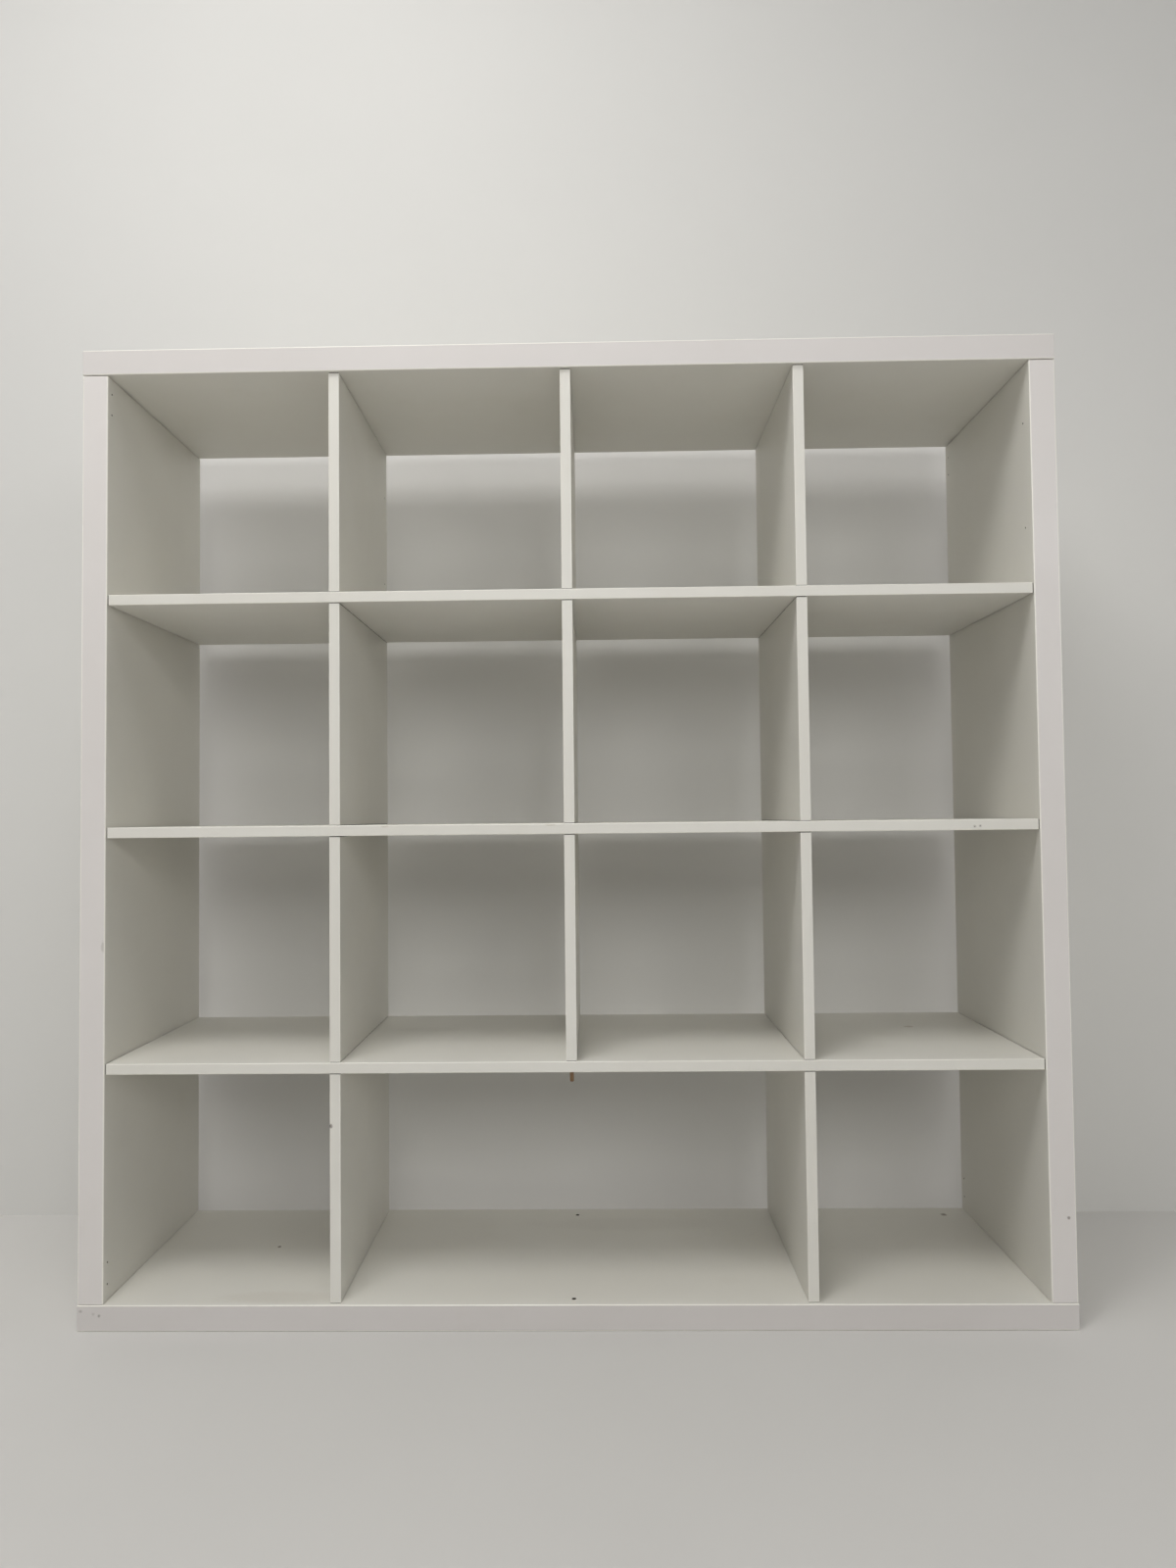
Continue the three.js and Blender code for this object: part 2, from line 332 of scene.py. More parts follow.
# Marks of use, by piece: place in mm, reach in mm, tone, strength
marksOfUse = {
    "bottom_panel_upper_skin": [
        ((-497, 23.5, 38), (3.0, 4.5, 5), darkSpeck, 0.80),
        ((652, 161, 38), (5.0, 6.0, 5), darkSpeck, 0.70),
        ((-440, -168, 38), (95, 20, 5), brownSmudge, 0.13),
        ((90, 120, 38), (160, 30, 5), greyRub, 0.10),
    ],
    "shelf_lower": [
        ((568, 59, 390.5), (9, 7, 5), brownSmudge, 0.45),
        ((-250, 60, 390.5), (60, 20, 5), greyRub, 0.10),
    ],
    "shelf_middle": [
        ((-276, -191, 741), (6, 4, 2.0), brownSmudge, 0.30),
        ((-29, -191, 741), (8, 4, 2.0), brownSmudge, 0.30),
        ((601, -191, 732.5), (2.6, 3, 2.4), greySpeck, 0.45),
        ((609, -191, 733), (2.4, 3, 2.2), greySpeck, 0.40),
    ],
    "divider_row_1_left": [((-358, -189.5, 297), (2.5, 3, 3.5), darkSpeck, 0.60)],
    "left_side_edge_band": [((-699, -195, 565), (3, 4, 9), greyRub, 0.55)],
    "right_side_edge_band": [((723, -195, 161), (2.5, 3, 2.5), darkSpeck, 0.60)],
    "bottom_panel_edge_band": [
        ((-729, -195, 29.5), (3.0, 4, 2.5), greySpeck, 0.40),
        ((-710, -195, 25.5), (2.8, 3, 2.4), greySpeck, 0.30),
        ((-701.5, -195, 22.8), (2.6, 3, 2.6), greySpeck, 0.55),
    ],
}

plainFoil = foilFinish("white foil", whiteFoil)
plainBand = foilFinish("white edge band", edgeBand)
# Finish of the rounded edges, paler partly as a painted highlight
plainTrimAndHighlight = foilFinish("trimmed edge", trimmedEdgeAndHighlight)
rawBoard = chipboardFinish("raw particleboard", 1.0, chipboard["shine"])
# Holes and end recesses: the board's tones scaled nearly to black, as painted shade
holeShadeBoard = chipboardFinish("drilled particleboard", chipboard["shadeInHoles"],
                               chipboard["shineInHoles"])
corePaper = paperFinish()
uprightBeech = dowelFinish("beech upright", (1.0, 1.0, beech["alongGrain"]))
lyingBeech = dowelFinish("beech lying", (beech["alongGrain"], 1.0, 1.0))
boltSteel = steelFinish()


def finishFor(node, look, plain):
    marks, shade = marksOfUse.get(node, ()), bandPaintedShade.get(node, 1.0)
    if not marks and shade == 1.0:
        return plain
    own = dict(look)
    # Where shade is below 1, the band's tones are darkened: painted shade on the top and bottom bands
    for key in ("tone", "greyer", "handled"):
        own[key] = [shade * v for v in look[key]]
    return foilFinish(plain.name + " " + node, own, marks)


print("finishes made")


# Where the boards are drilled

joinery = {
    "dowelDiameter": 6 * mm,
    "dowelReach": 17 * mm,
    "sideClearance": 0.3 * mm,
    "endClearance": 0.5 * mm,
    "cornerDowelY": 85 * mm,
    "screwShank": 7 * mm,
    "screwHead": 13 * mm,
    "screwHeadHeight": 4 * mm,
    "screwClearance": 0.3 * mm,
    "seatOvershoot": 2 * mm,    # how far the drill for a screw head starts outside the panel
    "pilotDiameter": 3 * mm,
    "pilotDepth": 8 * mm,
    "pilotY": 180 * mm,
    "pilotHeights": (63 * mm, 95 * mm, 1375 * mm, 1407 * mm),
    "hingeY": 167 * mm,
    "hingeHeights": (1183.75 * mm, 1343.75 * mm),
    "holeSides": 28,
}

shelfNames = ("lower", "middle", "upper")
columnNames = ("left", "centre", "right")
xAxis = Vector((1, 0, 0))
zAxis = Vector((0, 0, 1))

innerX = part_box("right_side_inner_skin")[0].x
sideX = sum(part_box("right_side_rails")[i].x for i in (0, 1)) / 2
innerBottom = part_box("bottom_panel_upper_skin")[1].z
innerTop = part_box("top_panel_lower_skin")[0].z

drillings = []      # axis, middle, length, diameter
shortUpright = []   # middles of the short dowels that stand
shortLying = []     # and of those that lie


def middleOf(node):
    low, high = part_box(node)
    return (low + high) / 2


def drillDowel(axis, middle, length):
    drillings.append((axis, middle, length + 2 * joinery["endClearance"],
                      joinery["dowelDiameter"] + 2 * joinery["sideClearance"]))


longDowels = [n for n in sorted(nodes) if n.startswith("dowel_")]
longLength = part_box(longDowels[0])[1].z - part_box(longDowels[0])[0].z
shortLength = 2 * joinery["dowelReach"]
for name in longDowels:
    drillDowel(zAxis, middleOf(name), longLength)

dowelYs = [middleOf("dowel_lower_left_" + end).y for end in ("front", "back")]
for y in dowelYs:
    for column in columnNames:
        x = middleOf(f"dowel_lower_{column}_front").x
        for z in (innerBottom, innerTop):
            drillDowel(zAxis, Vector((x, y, z)), shortLength)
            if column != "centre" or z == innerTop:
                shortUpright.append(Vector((x, y, z)))
    for shelf in shelfNames:
        for x in (-innerX, innerX):
            middle = Vector((x, y, middleOf("shelf_" + shelf).z))
            drillDowel(xAxis, middle, shortLength)
            shortLying.append(middle)
for x in (-sideX, sideX):
    for y in (-joinery["cornerDowelY"], joinery["cornerDowelY"]):
        for z in (innerBottom, innerTop):
            drillDowel(zAxis, Vector((x, y, z)), shortLength)
            shortUpright.append(Vector((x, y, z)))

screwNames = [n for n in sorted(nodes) if n.startswith("screw_")]
screwHeads = []     # top of each head, and whether the screw is turned upside down
for name in screwNames:
    low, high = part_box(name)
    centre = (low + high) / 2
    fromTop = "_top_" in name
    face = Vector((centre.x, centre.y, high.z if fromTop else low.z))
    screwHeads.append((face, 0.0 if fromTop else math.pi))
    clearance = joinery["screwClearance"]
    drillings.append((zAxis, centre, high.z - low.z + 2 * clearance,
                      joinery["screwShank"] + 2 * clearance))
    seat = joinery["screwHeadHeight"] + clearance
    inward = -1 if fromTop else 1
    middle = face + zAxis * inward * (seat - joinery["seatOvershoot"]) / 2
    drillings.append((zAxis, middle, seat + joinery["seatOvershoot"],
                      joinery["screwHead"] + 2 * clearance))

for z in joinery["pilotHeights"]:
    for x, y in ((-innerX, -joinery["pilotY"]), (innerX, joinery["pilotY"])):
        drillings.append((xAxis, Vector((x, y, z)), 2 * joinery["pilotDepth"],
                          joinery["pilotDiameter"]))
hingeFaces = ((innerX, -joinery["hingeY"]),
              (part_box("divider_row_4_left")[1].x, joinery["hingeY"]))
for z in joinery["hingeHeights"]:
    for x, y in hingeFaces:
        drillings.append((xAxis, Vector((x, y, z)), 2 * joinery["pilotDepth"],
                          joinery["pilotDiameter"]))
print(len(drillings), "drillings placed")

# Small knocks in front edges, by piece: place and size in mm
knocks = {
    "shelf_middle": [((601, -191.1, 732), (0.6, 0.5, 0.7)), ((609, -191.1, 733), (0.6, 0.5, 0.6))],
    "divider_row_1_left": [((-359.6, -189.6, 297), (1.0, 0.9, 2.2))],
    "bottom_panel_edge_band": [
        ((-729, -195.1, 29.5), (0.5, 0.4, 0.5)),
        ((-701.5, -195.1, 22.8), (0.6, 0.4, 0.6)),
    ],
}
knockUnevenness = (0.8, 1.15)


def cutterFor(node, low, high):
    cutter = bmesh.new()
    for axis, middle, length, diameter in drillings:
        reach = Vector((diameter / 2,) * 3) + axis * (length - diameter) / 2
        if all(middle[i] - reach[i] < high[i] and middle[i] + reach[i] > low[i] for i in range(3)):
            turn = zAxis.rotation_difference(axis).to_matrix().to_4x4()
            bmesh.ops.create_cone(cutter, cap_ends=True, segments=joinery["holeSides"],
                                  radius1=diameter / 2, radius2=diameter / 2, depth=length,
                                  matrix=Matrix.Translation(middle) @ turn)
    dice = random.Random(len(node))
    for centre, size in knocks.get(node, ()):
        made = bmesh.ops.create_icosphere(cutter, subdivisions=2, radius=1.0)
        for vert in made["verts"]:
            vert.co = Vector([
                centre[i] * mm + vert.co[i] * size[i] * mm * dice.uniform(*knockUnevenness)
                for i in range(3)])
    return cutter


# Turning a mesh into a finished piece

def addObject(name, mesh):
    piece = bpy.data.objects.new(name, mesh)
    scene.collection.objects.link(piece)
    return piece


def meshFrom(name, shape):
    mesh = bpy.data.meshes.new(name)
    shape.to_mesh(mesh)
    shape.free()
    return mesh


# Turns what the modifiers show into the piece's own mesh.
def settle(piece):
    graph = bpy.context.evaluated_depsgraph_get()
    mesh = bpy.data.meshes.new_from_object(piece.evaluated_get(graph), depsgraph=graph)
    piece.modifiers.clear()
    piece.data = mesh
    return piece


# Drills a shape, gives it its finishes and lets it stand for its node.
# The second finish, painted dark as shade, shows in the holes.
def makeBoard(node, suffix, shape, finishes):
    low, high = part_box(node)
    piece = addObject(node + suffix, meshFrom(node + suffix, shape))
    for finish in finishes:
        piece.data.materials.append(finish)
    cutter = cutterFor(node, low, high)
    if cutter.verts:
        for face in cutter.faces:
            face.material_index = 1
        tool = addObject("cutter", meshFrom("cutter", cutter))
        for finish in finishes:
            tool.data.materials.append(finish)
        cut = piece.modifiers.new("drilling", "BOOLEAN")
        cut.operation = "DIFFERENCE"
        cut.solver = "EXACT"
        cut.object = tool
        settle(piece)
        bpy.data.objects.remove(tool)
    else:
        cutter.free()
    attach(piece, "root")
    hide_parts(node)
    return piece


# Edge bands: a strip round each panel, its outer edges rounded

bandShape = {
    "edgeRadius": 1.5 * mm,
    "cornerRadius": 1.9 * mm,
    "steps": 5,
    "gapAtHead": 1.2 * mm,      # how far the side bands stop short of the top panel
    "gapAtFoot": 0.35 * mm,     # and of the bottom panel
    "setBack": 0.8 * mm,        # how far their fronts stand behind the top and bottom bands'
    "weld": 0.01 * mm,          # points closer than this become one
}


def roundLoop(lowA, highA, lowB, highB, radius, steps):
    points = []
    for signA, signB, start in ((1, 1, 0), (-1, 1, 90), (-1, -1, 180), (1, -1, 270)):
        centreA = (highA if signA > 0 else lowA) - signA * radius
        centreB = (highB if signB > 0 else lowB) - signB * radius
        for step in range(steps + 1):
            angle = math.radians(start + 90 * step / steps)
            points.append((centreA + radius * math.cos(angle), centreB + radius * math.sin(angle)))
    return points


def bandStrip(node, thin):
    low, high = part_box(node)
    flat = [i for i in range(3) if i != thin]
    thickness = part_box(node.replace("_edge_band", "_rails"))[0][flat[0]] - low[flat[0]]
    radius, steps = bandShape["edgeRadius"], bandShape["steps"]
    bottom, top = low[thin], high[thin]
    section = [(thickness, bottom)]
    for step in range(steps + 1):
        angle = math.radians(90 * step / steps)
        section.append((radius * (1 - math.sin(angle)), bottom + radius * (1 - math.cos(angle))))
    for step in range(steps + 1):
        angle = math.radians(90 * step / steps)
        section.append((radius * (1 - math.cos(angle)), top - radius * (1 - math.sin(angle))))
    section.append((thickness, top))
    shape = bmesh.new()
    loops = []
    for inset, height in section:
        corner = max(bandShape["cornerRadius"] - inset, 0.0)
        loop = []
        for a, b in roundLoop(low[flat[0]] + inset, high[flat[0]] - inset,
                              low[flat[1]] + inset, high[flat[1]] - inset, corner, steps):
            place = Vector((0, 0, 0))
            place[flat[0]], place[flat[1]], place[thin] = a, b, height
            loop.append(shape.verts.new(place))
        loops.append(loop)
    count = len(loops[0])
    for i, loop in enumerate(loops):
        nextLoop = loops[(i + 1) % len(loops)]
        # Rounded faces take the trimmed-edge finish, whose paler tone is partly a painted highlight
        rounded = 1 <= i <= steps or steps + 2 <= i <= 2 * steps + 1
        for k in range(count):
            m = (k + 1) % count
            face = shape.faces.new((loop[k], loop[m], nextLoop[m], nextLoop[k]))
            face.material_index = 2 if rounded else 0
    if thin == 0:
        for i, end, sign, gap in ((2, high.z, 1, bandShape["gapAtHead"]),
                                  (2, low.z, -1, bandShape["gapAtFoot"]),
                                  (1, low.y, -1, bandShape["setBack"])):
            for vert in shape.verts:
                over = sign * (vert.co[i] - end) + thickness
                if over > 0:
                    vert.co[i] -= sign * gap * over / thickness
    bmesh.ops.remove_doubles(shape, verts=shape.verts, dist=bandShape["weld"])
    bmesh.ops.dissolve_degenerate(shape, edges=shape.edges, dist=bandShape["weld"])
    bmesh.ops.recalc_face_normals(shape, faces=shape.faces)
    return shape


# Skins, shelves and dividers

boardEdge = {
    "shelf": 1.1 * mm,
    "divider": 0.8 * mm,
    "steps": 4,
    "recessDepth": 0.6 * mm,
    "recessAtHead": 1.2 * mm,   # also at both ends of a shelf
    "recessAtFoot": 0.8 * mm,
}


def plainSheet(low, high):
    shape = bmesh.new()
    size = high - low
    bmesh.ops.create_cube(shape, size=1.0,
                          matrix=Matrix.Translation((low + high) / 2) @ Matrix.Diagonal((*size, 1)))
    return shape


# A board with its long edges rounded. At both ends it is a little thinner, in the dark finish of the
# holes, which paints shade in the gap.
def edgedBoard(low, high, along, radius):
    flat = [i for i in range(3) if i != along]
    deep, steps = boardEdge["recessDepth"], boardEdge["steps"]
    head = high[along] - boardEdge["recessAtHead"]
    foot = low[along] + boardEdge["recessAtFoot" if along == 2 else "recessAtHead"]
    shape = bmesh.new()
    loops = []
    for inset, height in ((deep, low[along]), (deep, foot), (0, foot),
                          (0, head), (deep, head), (deep, high[along])):
        loop = []
        for a, b in roundLoop(low[flat[0]] + inset, high[flat[0]] - inset, low[flat[1]] + inset,
                              high[flat[1]] - inset, radius - inset, steps):
            place = Vector((0, 0, 0))
            place[flat[0]], place[flat[1]], place[along] = a, b, height
            loop.append(shape.verts.new(place))
        loops.append(loop)
    shape.faces.new(loops[0]).material_index = 1
    shape.faces.new(loops[-1]).material_index = 1
    for i, (loop, nextLoop) in enumerate(zip(loops, loops[1:])):
        for k in range(len(loop)):
            m = (k + 1) % len(loop)
            face = shape.faces.new((loop[k], loop[m], nextLoop[m], nextLoop[k]))
            # Rounded long edges take the trimmed-edge finish, paler partly as a painted highlight; end
            # caps and recesses take the dark hole finish, as painted shade
            rounded = k % (steps + 1) != steps
            face.material_index = 1 if i != 2 else 2 if rounded else 0
    bmesh.ops.recalc_face_normals(shape, faces=shape.faces)
    return shape


panels = {"bottom_panel": 2, "top_panel": 2, "left_side": 0, "right_side": 0}
for panel, thin in panels.items():
    node = panel + "_edge_band"
    makeBoard(node, "_strip", bandStrip(node, thin),
              (finishFor(node, edgeBand, plainBand), holeShadeBoard, plainTrimAndHighlight))
    for skin in [n for n in sorted(nodes) if n.startswith(panel) and n.endswith("_skin")]:
        makeBoard(skin, "_sheet", plainSheet(*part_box(skin)),
                  (finishFor(skin, whiteFoil, plainFoil), holeShadeBoard))
    rails = nodes[panel + "_rails"]
    rails.data.materials.clear()
    rails.data.materials.append(rawBoard)
print("outer panels made")

for node in sorted(nodes):
    if node.startswith("shelf_"):
        shape = edgedBoard(*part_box(node), 0, boardEdge["shelf"])
    elif node.startswith("divider_"):
        shape = edgedBoard(*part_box(node), 2, boardEdge["divider"])
    else:
        continue
    makeBoard(node, "_board", shape, (finishFor(node, whiteFoil, plainFoil), holeShadeBoard, plainTrimAndHighlight))
print("shelves and dividers made")


# Geometry trees

def startTree(name, sizes):
    tree = bpy.data.node_groups.new(name, "GeometryNodeTree")
    tree.interface.new_socket("Geometry", in_out="INPUT", socket_type="NodeSocketGeometry")
    for label, kind in sizes:
        tree.interface.new_socket(label, in_out="INPUT", socket_type="NodeSocket" + kind)
    tree.interface.new_socket("Geometry", in_out="OUTPUT", socket_type="NodeSocketGeometry")
    return tree, tree.nodes.new("NodeGroupInput").outputs


def endTree(tree, shape, finish):
    whole = addNode(tree, "GeometryNodeRealizeInstances", {"Geometry": shape}).outputs[0]
    painted = addNode(tree, "GeometryNodeSetMaterial", {"Geometry": whole, "Material": finish})
    out = tree.nodes.new("NodeGroupOutput")
    tree.links.new(painted.outputs[0], out.inputs[0])


def pointCloudMesh(name, places, turns=None):
    mesh = bpy.data.meshes.new(name)
    mesh.from_pydata([tuple(p) for p in places], [], [])
    if turns:
        turned = mesh.attributes.new("turned", "FLOAT", "POINT")
        turned.data.foreach_set("value", turns)
    return mesh


def growPiece(name, mesh, tree, sizes, replaced):
    piece = addObject(name, mesh)
    grow = piece.modifiers.new(tree.name, "NODES")
    grow.node_group = tree
    sockets = {s.name: s.identifier for s in tree.interface.items_tree if s.in_out == "INPUT"}
    for label, value in sizes.items():
        grow[sockets[label]] = value
    settle(piece)
    piece.data.polygons.foreach_set("material_index", [0] * len(piece.data.polygons))
    piece.data.materials.clear()
    piece.data.materials.append(sizes["Finish"])
    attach(piece, "root")
    if replaced:
        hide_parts(*replaced)
    return piece


# Paper honeycomb in the four panels

honeycomb = {"cellWidth": 22 * mm, "paper": 0.5 * mm, "gap": 0.1 * mm}


def honeycombTree():
    tree, given = startTree("honeycomb", [
        ("Height", "Float"), ("Cell", "Float"), ("Paper", "Float"), ("Columns", "Int"),
        ("Rows", "Int"), ("Place", "Vector"), ("Turn", "Rotation"), ("Finish", "Material")])
    rowStep = calc(tree, "MULTIPLY", given["Cell"], math.sqrt(3) / 2)
    radius = calc(tree, "SUBTRACT", calc(tree, "DIVIDE", given["Cell"], math.sqrt(3)), given["Paper"])
    hexagon = addNode(tree, "GeometryNodeCurvePrimitiveCircle", {"Resolution": 6, "Radius": radius})
    pointUp = addNode(tree, "GeometryNodeTransform", {
        "Geometry": hexagon.outputs[0], "Rotation": (0, 0, math.pi / 6)}).outputs[0]
    wall = addNode(tree, "GeometryNodeCurvePrimitiveQuadrilateral", {
        "Width": given["Paper"], "Height": given["Height"]}).outputs[0]
    cell = addNode(tree, "GeometryNodeCurveToMesh", {"Curve": pointUp, "Profile Curve": wall})
    spanX = calc(tree, "MULTIPLY", calc(tree, "SUBTRACT", given["Columns"], 1.0), given["Cell"])
    spanY = calc(tree, "MULTIPLY", calc(tree, "SUBTRACT", given["Rows"], 1.0), rowStep)
    grid = addNode(tree, "GeometryNodeMeshGrid", {
        "Size X": spanX, "Size Y": spanY, "Vertices X": given["Columns"],
        "Vertices Y": given["Rows"]}).outputs[0]
    # Every second row is moved half a cell to the side
    place = addNode(tree, "GeometryNodeInputPosition").outputs[0]
    parts = addNode(tree, "ShaderNodeSeparateXYZ", {0: place}).outputs
    fromFirst = calc(tree, "ADD", parts["Y"], calc(tree, "MULTIPLY", spanY, 0.5))
    row = calc(tree, "ROUND", calc(tree, "DIVIDE", fromFirst, rowStep))
    odd = calc(tree, "PINGPONG", row, 1.0)
    slide = calc(tree, "MULTIPLY", calc(tree, "SUBTRACT", odd, 0.5),
                 calc(tree, "MULTIPLY", given["Cell"], 0.5))
    offset = addNode(tree, "ShaderNodeCombineXYZ", {"X": slide}).outputs[0]
    staggered = addNode(tree, "GeometryNodeSetPosition", {"Geometry": grid, "Offset": offset})
    cells = addNode(tree, "GeometryNodeInstanceOnPoints", {
        "Points": staggered.outputs[0], "Instance": cell.outputs[0]}).outputs[0]
    put = addNode(tree, "GeometryNodeTransform", {
        "Geometry": cells, "Translation": given["Place"], "Rotation": given["Turn"]})
    endTree(tree, put.outputs[0], given["Finish"])
    return tree


combTree = honeycombTree()
for panel, thin in panels.items():
    node = panel + "_honeycomb"
    low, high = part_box(node)
    size = high - low
    length, width = (size.x, size.y) if thin == 2 else (size.z, size.y)
    cellSize = honeycomb["cellWidth"]
    cellHeight = cellSize * 2 / math.sqrt(3)
    columns = int((length - cellSize / 2) / cellSize)
    rowsOfCells = int((width - cellHeight) / (cellSize * math.sqrt(3) / 2)) + 1
    growPiece(node + "_cells", pointCloudMesh(node, [(0, 0, 0)]), combTree, {
        "Height": size[thin] - 2 * honeycomb["gap"], "Cell": cellSize,
        "Paper": honeycomb["paper"], "Columns": columns, "Rows": rowsOfCells,
        "Place": tuple((low + high) / 2), "Turn": (0, math.pi / 2 if thin == 0 else 0, 0),
        "Finish": corePaper}, [node])
print("honeycomb cores made")


# Fluted dowels

dowels = {"chamfer": 1.0 * mm, "flutes": 12, "fluteDepth": 0.28 * mm}


def dowelTree():
    tree, given = startTree("fluted dowel", [
        ("Diameter", "Float"), ("Length", "Float"), ("Chamfer", "Float"), ("Flutes", "Int"),
        ("Flute Depth", "Float"), ("Turn", "Rotation"), ("Finish", "Material")])
    radius = calc(tree, "MULTIPLY", given["Diameter"], 0.5)
    half = calc(tree, "MULTIPLY", given["Length"], 0.5)
    sides = calc(tree, "MULTIPLY", given["Flutes"], 2.0)
    rod = addNode(tree, "GeometryNodeMeshCylinder", {
        "Vertices": sides, "Side Segments": 3, "Radius": radius, "Depth": given["Length"]},
        fill_type="NGON")
    place = addNode(tree, "GeometryNodeInputPosition").outputs[0]
    parts = addNode(tree, "ShaderNodeSeparateXYZ", {0: place}).outputs
    # The two inner rings go out to where the chamfers start
    inner = calc(tree, "LESS_THAN", calc(tree, "ABSOLUTE", parts["Z"]),
                 calc(tree, "MULTIPLY", half, 0.6))
    shoulder = calc(tree, "MULTIPLY", calc(tree, "SIGN", parts["Z"]),
                    calc(tree, "SUBTRACT", half, given["Chamfer"]))
    height = addNode(tree, "GeometryNodeSwitch", {
        "Switch": inner, "False": parts["Z"], "True": shoulder}, input_type="FLOAT").outputs[0]
    angle = calc(tree, "ARCTAN2", parts["Y"], parts["X"])
    wave = calc(tree, "COSINE", calc(tree, "MULTIPLY", angle, given["Flutes"]))
    depth = calc(tree, "MULTIPLY", calc(tree, "SUBTRACT", 1.0, wave),
                 calc(tree, "MULTIPLY", given["Flute Depth"], 0.5))
    chamfer = calc(tree, "MULTIPLY", calc(tree, "SUBTRACT", 1.0, inner), given["Chamfer"])
    narrower = calc(tree, "DIVIDE", calc(tree, "ADD", depth, chamfer), radius)
    share = calc(tree, "SUBTRACT", 1.0, narrower)
    shaped = addNode(tree, "ShaderNodeCombineXYZ", {
        "X": calc(tree, "MULTIPLY", parts["X"], share),
        "Y": calc(tree, "MULTIPLY", parts["Y"], share), "Z": height}).outputs[0]
    fluted = addNode(tree, "GeometryNodeSetPosition", {
        "Geometry": rod.outputs[0], "Position": shaped}).outputs[0]
    rods = addNode(tree, "GeometryNodeInstanceOnPoints", {
        "Points": given["Geometry"], "Instance": fluted, "Rotation": given["Turn"]})
    endTree(tree, rods.outputs[0], given["Finish"])
    return tree


rodTree = dowelTree()
dowelSets = (
    ("shelf_dowels", [middleOf(n) for n in longDowels], longLength, 0, uprightBeech, longDowels),
    ("panel_dowels", shortUpright, shortLength, 0, uprightBeech, []),
    ("side_dowels", shortLying, shortLength, math.pi / 2, lyingBeech, []),
)
for name, middles, length, turn, finish, replaced in dowelSets:
    growPiece(name, pointCloudMesh(name, middles), rodTree, {
        "Diameter": joinery["dowelDiameter"], "Length": length, "Chamfer": dowels["chamfer"],
        "Flutes": dowels["flutes"], "Flute Depth": dowels["fluteDepth"],
        "Turn": (0, turn, 0), "Finish": finish}, replaced)
print("dowels made")


# Threaded screws with a hexagon socket

screws = {
    "pitch": 2.4 * mm,
    "threadDepth": 0.8 * mm,
    "socketWidth": 5 * mm,
    "socketDepth": 3 * mm,
    "headSides": 40,
    "ringsPerTurn": 6,
    "shankSides": 18,
    "tipLength": 5 * mm,
    "tipWidth": 0.45,           # share of the shank's width at the very tip
}


